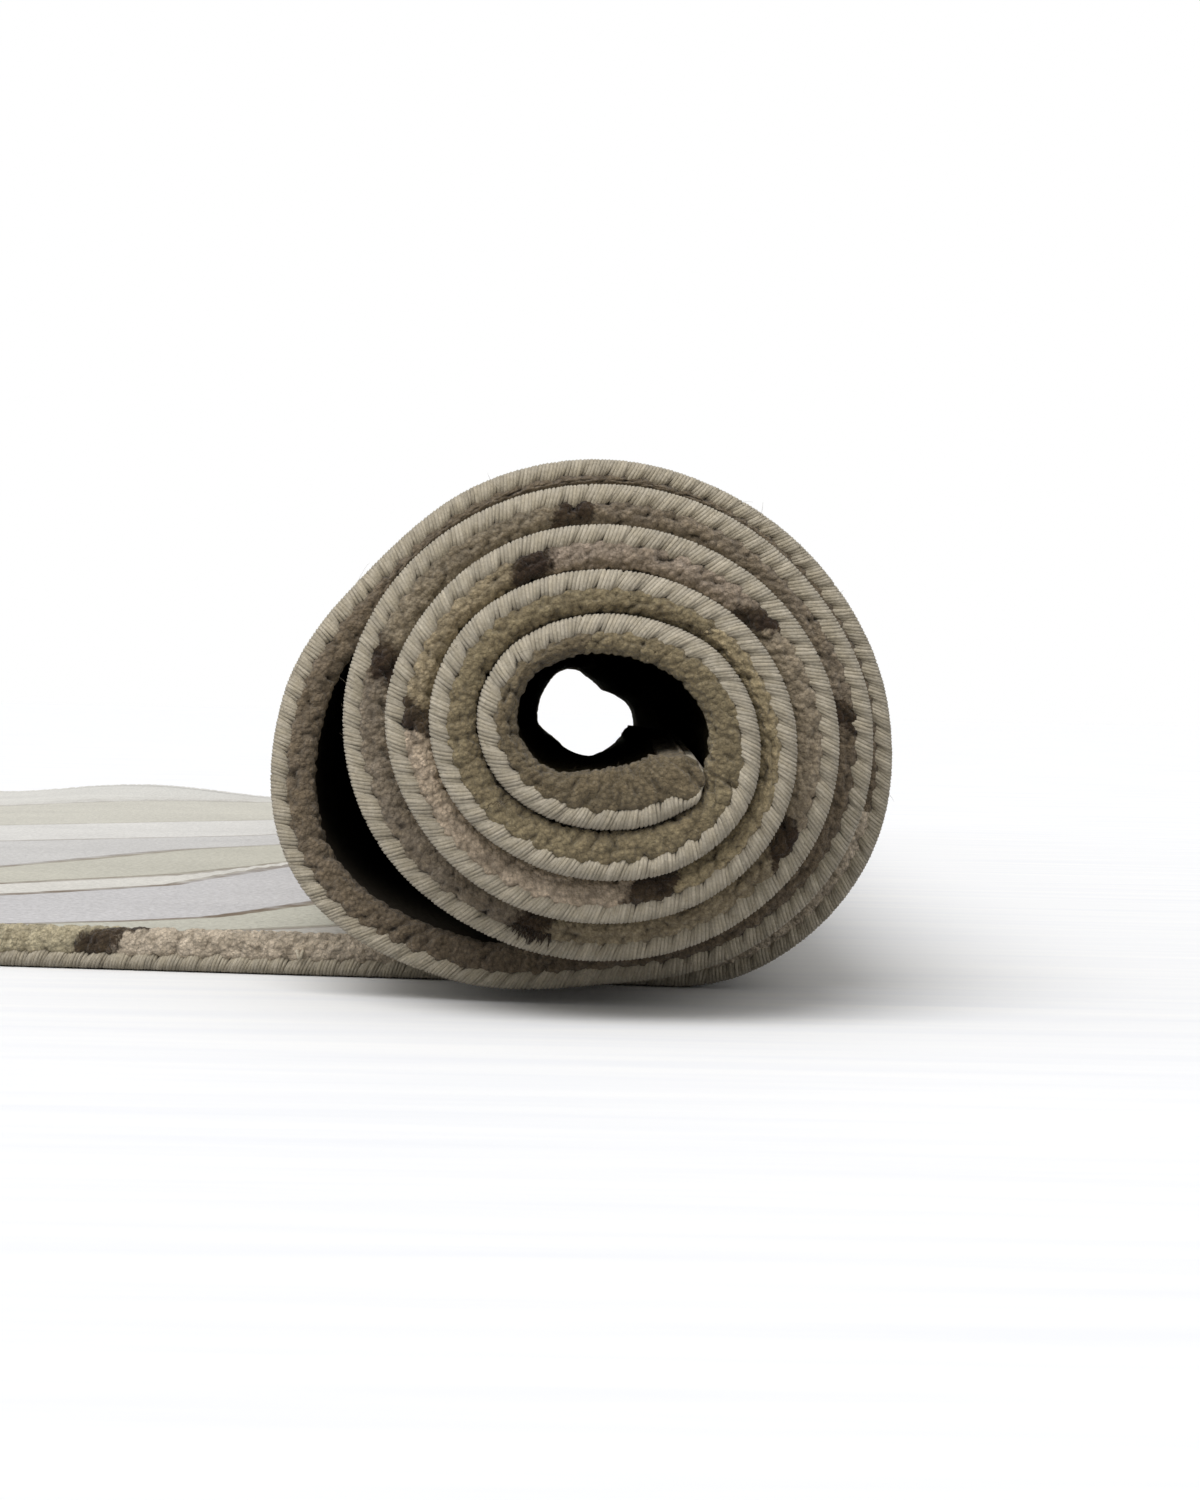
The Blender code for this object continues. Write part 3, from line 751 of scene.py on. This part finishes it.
# the tufted face of the pile along one edge
def pileAlong(edge, step, count, seed, material):
    outer, at = resample(pileEdges["profile"], count, pileEdges["crowding"])
    inside = np.array(pileEdges["inside"]) / 1000
    isLong = edge in ("front", "back")
    margin = 0.0 if isLong else pileEdges["margin"]
    a = np.arange(margin, edgeLength(edge) - margin + step / 2, step)[:, None]
    if edge == "front":
        a = a[(a[:, 0] < pileEdges["coarseFrom"]) | (np.arange(len(a)) % 2 == 0)]
    tangent = np.gradient(outer, axis=0)
    tangent /= np.linalg.norm(tangent, axis=1, keepdims=True)
    normal = np.stack([-tangent[:, 1], tangent[:, 0]], axis=1)     # out of the rug
    gridA, gridS = np.broadcast_arrays(a, at[None, :])
    leaning = gridA + pileEdges["lean"] * gridS
    clumpSize, clumpHeight = pileEdges["clump"]
    tuftSize, tuftHeight = pileEdges["tuft"]
    clumpLevel, tuftLevel = pileEdges["level"]
    clump, clumpTone, clumpOffset = lumps(leaning, gridS, clumpSize, seed)
    tuft, tuftTone, tuftOffset = lumps(leaning, gridS, tuftSize, seed + 20)
    fade = np.minimum(np.minimum(1.0, at / pileEdges["fadeIn"] + 0.3),
                      np.clip((at[-1] - at) / pileEdges["fadeOut"], 0, 1))
    rise = (clump - clumpLevel) * clumpHeight + (tuft - tuftLevel) * tuftHeight
    rise = rise * fade * (pileEdges["backRise"] if edge == "back" else 1.0)
    inwards = outer[:, 0] + normal[:, 0] * rise
    height = outer[:, 1] + normal[:, 1] * rise
    foot = pileEdges["foot"]
    fromEnd = np.minimum(gridA - margin, edgeLength(edge) - margin - gridA)
    reach = np.where(gridA < edgeLength(edge) / 2, *pileEdges["endRound"])
    fall = np.clip(1 - fromEnd / reach, 0, 1)
    drop = 1 - np.sqrt(1 - fall ** 2 * 0.98)
    height = foot + (height - foot) * (1 - pileEdges["endDrop"] * drop)
    inwards = inwards + pileEdges["endInwards"] * drop
    tail = np.broadcast_to(inside[None], (len(a), len(inside), 2))
    inwards = np.concatenate([inwards, tail[:, :, 0]], axis=1)
    tailHeight = foot + (tail[:, :, 1] - foot) * (1 - pileEdges["endDrop"] * drop[:, :1])
    height = np.concatenate([height, tailHeight], axis=1)
    wide = np.broadcast_to(a, inwards.shape)
    if isLong:
        lower = pileEdges["reachDown"] * nearInner(wide, binding["lowEnd"])
        height = rug["thick"] - (rug["thick"] - height) * (1 + lower)
    u, v = onEdge(edge, wide, inwards)
    points = wound(u, v, height).reshape(-1, 3)
    rows, columns = inwards.shape
    quads, turned = outward(points, gridFaces(rows, columns, wrap=True))
    faces = [*quads, *endCaps(rows, columns, turned)]
    nothing = np.full((len(a), len(inside)), 0.5)
    tone = np.concatenate([0.5 * clumpTone + 0.5 * tuftTone, nothing], axis=1)
    # low in the hollows between the lumps, where the pile's material paints shade
    deep = np.clip(0.75 * clump + 0.55 * tuft - 0.2, 0, 1)
    hollow = np.concatenate([deep, nothing], axis=1)
    # a clump has one colour, so the outlines are ragged
    shift = np.concatenate([0.7 * clumpOffset + 0.8 * tuftOffset, 0 * nothing], axis=1)
    leanU, leanV = onEdge(edge, wide + shift, np.clip(inwards, 0, None))
    if isLong:
        leanU = leanU + pattern["lean"] * (height - pattern["leanFrom"])
    wave = waveAt(leanU, leanV)
    place = np.stack([u, v, height], axis=-1).reshape(-1, 3)
    return makePiece(f"pile_edge_{edge}", points, faces,
                     {"wave": wave, "tone": tone, "hollow": hollow}, {"rug": place}, material)


binding = {
    # centre line of a strand, inwards from the edge and height, in millimetres
    "path": ((3.0, 5.2), (1.6, 5.5), (0.8, 5.2), (0.45, 4.4), (0.3, 3.3), (0.4, 2.1), (1.0, 1.0),
             (2.2, 0.62), (7.0, 0.62)),
    "crowding": ((0, 0.7, 1), (0, 0.5, 1)),
    "top": 0.0053,            # height at which a strand goes into the pile
    "pitch": 0.00098,
    "radius": 0.00066,
    "tip": 0.6,               # share of it at the two ends
    "lean": 0.0029,           # how far the top of a strand stands nearer to the inner end
    "bundle": (5, 8),         # strands
    "pinch": 0.10,            # how much closer a bundle's strands are at the pile
    "bulge": 0.0010,
    "scallop": 0.0017,
    "vary": 0.25,             # how unlike each other the bundles are
    "uneven": (0.00015, 0.00018),     # of single strands, inwards and up
    "inset": 0.0005,
    "margin": (0.0006, 0.005),        # free at the ends of a long edge and of a short one
    "keepIn": 0.0004,
    "lowEnd": (0.007, 0.014),     # the yarn gets lower between these places and ends at the first
    "lowered": 0.75,
}


# 1 up to the first place along an edge, 0 from the second one on
def nearInner(a, places):
    share = np.clip((places[1] - a) / (places[1] - places[0]), 0, 1)
    return share * share * (3 - 2 * share)


# for each strand: its place along the edge, its place in its bundle and the bundle's middle
def strandPlaces(length, margin):
    places, shares, middles = [], [], []
    a = margin
    fewest, most = binding["bundle"]
    while a < length - margin:
        count = int(rng.integers(fewest, most + 1))
        pitch = binding["pitch"] * rng.uniform(0.95, 1.05)
        for k in range(count):
            places.append(a + (k + 0.5) * pitch)
            shares.append((k + 0.5) / count)
            middles.append(a + count * pitch / 2)
        a += count * pitch
    places, shares, middles = np.array(places), np.array(shares), np.array(middles)
    keep = places < length - margin
    return places[keep], shares[keep], middles[keep]


# the yarn that is wound over one edge
def overcast(edge, rings, sides, material):
    isLong = edge in ("front", "back")
    places, shares, middles = strandPlaces(edgeLength(edge), binding["margin"][0 if isLong else 1])
    if edge == "front":
        kept = places > binding["lowEnd"][0]
        places, shares, middles = places[kept], shares[kept], middles[kept]
    count = len(places)
    path, _ = resample(binding["path"], rings, binding["crowding"])
    crown = (1 - (2 * shares - 1) ** 2) ** 0.7
    wobble = rng.uniform(-1, 1, (count, 4))
    _, bundles = np.unique(middles, return_inverse=True)
    varied = rng.uniform(-1, 1, (bundles.max() + 1, 2))[bundles]
    up = np.clip(path[:, 1] / binding["top"], 0, 1)[None, :]
    unevenIn, unevenUp = binding["uneven"]
    inwards = path[:, 0][None, :] - binding["bulge"] * crown[:, None] * np.sin(up * math.pi * 0.8)
    inwards = inwards + wobble[:, :1] * unevenIn + binding["inset"]
    scallop = binding["scallop"] * (crown[:, None] * (1 + binding["vary"] * varied[:, :1]) - 0.75)
    height = path[:, 1][None, :] + up ** 2 * (scallop + wobble[:, 1:2] * unevenUp)
    lean = binding["lean"] * (1 + binding["vary"] * varied[:, 1] + 0.10 * wobble[:, 2])
    spread = 1 - binding["pinch"] * up ** 2
    a = middles[:, None] + (places - middles)[:, None] * spread + (0.5 - up) * lean[:, None]
    a = np.clip(a, binding["keepIn"], edgeLength(edge) - binding["keepIn"])
    if isLong:
        height = height * (1 - binding["lowered"] * nearInner(a, binding["lowEnd"]))
    u, v = onEdge(edge, a, inwards)
    lines = wound(u, v, height)
    besideU, besideV = onEdge(edge, a + 0.001, inwards)
    side = wound(besideU, besideV, height) - lines
    side /= np.linalg.norm(side, axis=2, keepdims=True)
    size = binding["radius"] * rng.uniform(0.92, 1.08, (count, 1)) * np.ones((1, rings))
    size[:, 0] *= binding["tip"]
    size[:, -1] *= binding["tip"]
    points, faces = tubes(lines, size, side, sides)
    # a random tone for each strand, painted darker at the sides of its bundle as shade between the bundles
    tone = np.clip(rng.normal(0.5, 0.22, count) + 0.15 * varied[:, 0] - 0.4 * (1 - crown), 0, 1)
    turn = np.tile(np.arange(sides), count * rings)
    run = np.tile(np.repeat(np.arange(rings), sides), count)
    number = np.repeat(np.arange(count), rings * sides)
    strand = np.stack([turn * 1.0, run * 2.0, number * 1.7], axis=1)
    place = tubePlaces(u, v, height, sides)
    place[:, 0] += turn * 0.0004
    return makePiece(f"overcast_{edge}", points, faces, {"tone": np.repeat(tone, rings * sides)},
                     {"strand": strand, "rug": place}, material)


pileTop = pileMaterial()
pileSide = pileEdgeMaterial()
yarn = yarnMaterial()
backing = backingMaterial()

pileCloth = clothLayer("pile", *layers["pile"], pileTop)
backCloth = clothLayer("woven_back", *layers["back"], backing)
print("cloth layers made")

edgeDetail = {
    # edge: step and profile points of the pile, rings and sides of a strand
    "front": (0.0005, 20, 8, 5),
    "back": (0.0009, 12, 5, 4),
    "inner": (0.0008, 9, 5, 4),
    "outer": (0.0008, 9, 5, 4),
}
cadBinding = {"front": "binding_front", "back": "binding_back",
              "inner": "binding_inner_end", "outer": "binding_outer_end"}
for number, (edge, (step, count, rings, sides)) in enumerate(edgeDetail.items()):
    finish = pileTop if edge == "back" else pileSide
    edgePile = pileAlong(edge, step, count, 3 + 7 * number, finish)
    strands = overcast(edge, rings, sides, yarn)
    for piece, node, slot in ((edgePile, "carpet", "pile"), (strands, cadBinding[edge], "binding_yarn")):
        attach(piece, "root")
        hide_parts(node)
    print("edge", edge, "made:", len(edgePile.data.polygons), len(strands.data.polygons), "faces")

# fine fibres that stand out of the yarn and the pile, brown tufts that hang over the yarn and two
# pale loops
fibres = {
    "count": 1300,
    "alongFront": (0.002, 1.98),        # of the front edge, from the inner end
    "heights": (0.0005, 0.0118),
    "offFace": 0.0003,                  # where a fibre starts in from the edge, and least height
    "floorFrom": 1.66,                  # from here on the edge lies on the floor
    "length": (0.0007, 0.0022),
    "radius": 0.00005,
    "brown": 8.0,                       # wave of the outline that the tufts belong to
    "hanging": (608, 617, 60),          # winding angles and number
    "hangFrom": 0.0062,                 # height of their tops, their length and radius
    "hangLength": (0.0012, 0.0042),
    "hangRadius": 0.00022,
    # pale loops hanging between pile and yarn: distance along the edge, length, drop and radius
    "loops": ((1.8092, 0.0020, 0.0014, 0.00055), (1.7482, 0.0042, 0.0022, 0.00032)),
}


def looseFibres():
    count = fibres["count"]
    a = rng.uniform(*fibres["alongFront"], count)
    height = rng.uniform(*fibres["heights"], count)
    length = rng.uniform(*fibres["length"], count)
    outwards = rng.normal(0.5, 0.45, count)
    lift = rng.normal(0.0, 0.6, count) + np.where(height < 0.002, -0.5, 0.0)
    sideways = rng.normal(0, 0.9, count)
    bend = rng.normal(0, 0.7, (count, 3))
    share = np.linspace(0, 1, 5)[None, :]
    place = a[:, None] + length[:, None] * (sideways[:, None] * share + bend[:, :1] * share ** 2)
    out = length[:, None] * (outwards[:, None] * share + bend[:, 1:2] * share ** 2)
    inwards = fibres["offFace"] - out
    rise = height[:, None] + length[:, None] * (lift[:, None] * share + bend[:, 2:] * share ** 2)
    onFloor = a[:, None] > fibres["floorFrom"]
    rise = np.where(onFloor, np.maximum(rise, fibres["offFace"]), rise)
    lines = wound(place, inwards, rise)
    radii = fibres["radius"] * (1 - 0.6 * share) * rng.uniform(0.7, 1.4, (count, 1))
    points, faces = tubes(lines, radii, np.array((0.3, 0.5, 0.8)), 3)
    wave = np.repeat(waveAt(a, np.zeros(count)), len(points) // count)
    rugPlace = tubePlaces(place, np.abs(inwards), rise, 3)
    even = np.full(len(points), 0.8)
    return makePiece("loose_fibres", points, faces, {"wave": wave, "tone": even, "hollow": even},
                     {"rug": rugPlace}, pileSide)


def hangingTufts():
    first, last, count = fibres["hanging"]
    a = frontPlace(rng.uniform(first, last, count)) + rng.normal(0, 0.0006, count)
    share = np.linspace(0, 1, 5)[None, :]
    length = rng.uniform(*fibres["hangLength"], count)[:, None]
    inwards = -0.0004 - 0.0006 * np.sin(share * math.pi) + rng.normal(0, 0.0002, (count, 1))
    rise = fibres["hangFrom"] - length * share
    place = a[:, None] + rng.normal(0, 0.25, (count, 1)) * length * share
    radii = fibres["hangRadius"] * (1 - 0.5 * share) * rng.uniform(0.7, 1.3, (count, 1))
    points, faces = tubes(wound(place, inwards, rise), radii, np.array((1.0, 0.2, 0.4)), 4)
    wave = np.full(len(points), fibres["brown"])
    rugPlace = tubePlaces(place, np.abs(inwards), rise, 4)
    even = np.full(len(points), 0.7)
    return makePiece("hanging_tufts", points, faces, {"wave": wave, "tone": even, "hollow": even},
                     {"rug": rugPlace}, pileSide)


def paleLoops():
    a, length, drop, radius = (np.array(k)[:, None] for k in zip(*fibres["loops"]))
    share = np.linspace(0, 1, 9)[None, :]
    place = a + length * (share - 0.5)
    inwards = -0.0022 - 0.0006 * np.sin(math.pi * share) + 0 * a
    rise = 0.0072 - drop * np.sin(math.pi * share) + 0.0006 * np.cos(7 * share)
    points, faces = tubes(wound(place, inwards, rise), radius + 0 * share, np.array((0.2, 0.9, 0.3)), 5)
    rugPlace = tubePlaces(place, np.abs(inwards), rise, 5)
    return makePiece("pale_loops", points, faces, {"tone": np.full(len(points), 1.0)},
                     {"strand": rugPlace * 1000, "rug": rugPlace}, yarn)


for piece, node, slot in ((looseFibres(), "carpet", "pile"), (hangingTufts(), "carpet", "pile"),
                          (paleLoops(), "binding_front", "binding_yarn")):
    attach(piece, "root")
    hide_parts(node)
print("loose fibres made")

for piece in (pileCloth, backCloth):
    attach(piece, "root")
    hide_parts("carpet")

studio = {
    "floor": 60.0,
    "floorColours": ((246, 247, 250), (254, 254, 254)),
    "floorThrows": (180, 180, 180),
    "ambient": 0.60,            # light from all round
    "sun": 1.95,
    "sunFrom": (-0.33, -0.75, 1.0),
    "sunWidth": 45.0,           # degrees
    "cameraBack": 1.10,         # from the front edge of the flat part
    "cameraLeft": 0.012,        # of the roll's middle
    "cameraHeight": 0.0807,
    "lens": 91.8,
    "aim": (0.0115, 1.0, -0.01176),
    "roll": 1.1,
}


# the floor and the surroundings look white and throw back less light than they show
def makeFloor():
    bpy.ops.object.select_all(action="DESELECT")
    bpy.ops.mesh.primitive_plane_add(size=studio["floor"])
    floor = bpy.context.object
    floor.name = "studio_floor"
    material, paint, shader = newMaterial("studioFloor", 0.7, 0.0)
    place = paint.node("ShaderNodeTexCoord", output=3)
    shade = paint.noise(paint.stretched(place, (4.0, 40.0, 1.0)), 1.5, 4.0).between(0.3, 0.7, 0.0, 1.0)
    seen = paint.node("ShaderNodeLightPath")
    pale, white = studio["floorColours"]
    looks = paint.mixed(shade, linear(*pale), linear(*white))
    thrown = linear(*studio["floorThrows"])
    connect(paint.mixed(seen, thrown, looks), shader.inputs["Base Color"])
    floor.data.materials.append(material)


def makeLights():
    world = bpy.data.worlds.new("studio")
    world.use_nodes = True
    paint = Value(world.node_tree)
    white = paint.node("ShaderNodeBackground", {}, {"Color": (1.0, 1.0, 1.0, 1.0), "Strength": 1.0})
    soft = paint.node("ShaderNodeBackground", {},
                      {"Color": (1.0, 1.0, 1.0, 1.0), "Strength": studio["ambient"]})
    seen = paint.node("ShaderNodeLightPath")
    both = paint.node("ShaderNodeMixShader", {}, {0: seen, 1: soft, 2: white})
    connect(both, world.node_tree.nodes["World Output"].inputs["Surface"])
    bpy.context.scene.world = world
    lamp = bpy.data.lights.new("key", "SUN")
    lamp.energy = studio["sun"]
    lamp.angle = math.radians(studio["sunWidth"])
    key = bpy.data.objects.new("key", lamp)
    bpy.context.scene.collection.objects.link(key)
    key.rotation_euler = (-Vector(studio["sunFrom"])).to_track_quat("-Z", "Y").to_euler()


def makeCamera():
    lens = bpy.data.cameras.new("camera")
    lens.lens = studio["lens"]
    lens.sensor_width = 36.0
    lens.clip_start = 0.05
    lens.clip_end = 100.0
    camera = bpy.data.objects.new("camera", lens)
    bpy.context.scene.collection.objects.link(camera)
    turned = Vector(studio["aim"]).to_track_quat("-Z", "Y").to_matrix()
    turned = turned @ Matrix.Rotation(math.radians(studio["roll"]), 3, "Z")
    camera.matrix_world = turned.to_4x4()
    camera.location = (rollX - studio["cameraLeft"],
                       float(rugShift[1]) + contactDepth - studio["cameraBack"],
                       studio["cameraHeight"])
    bpy.context.scene.camera = camera


makeFloor()
makeLights()
makeCamera()
bpy.context.scene.view_settings.view_transform = "Standard"
print("studio made")
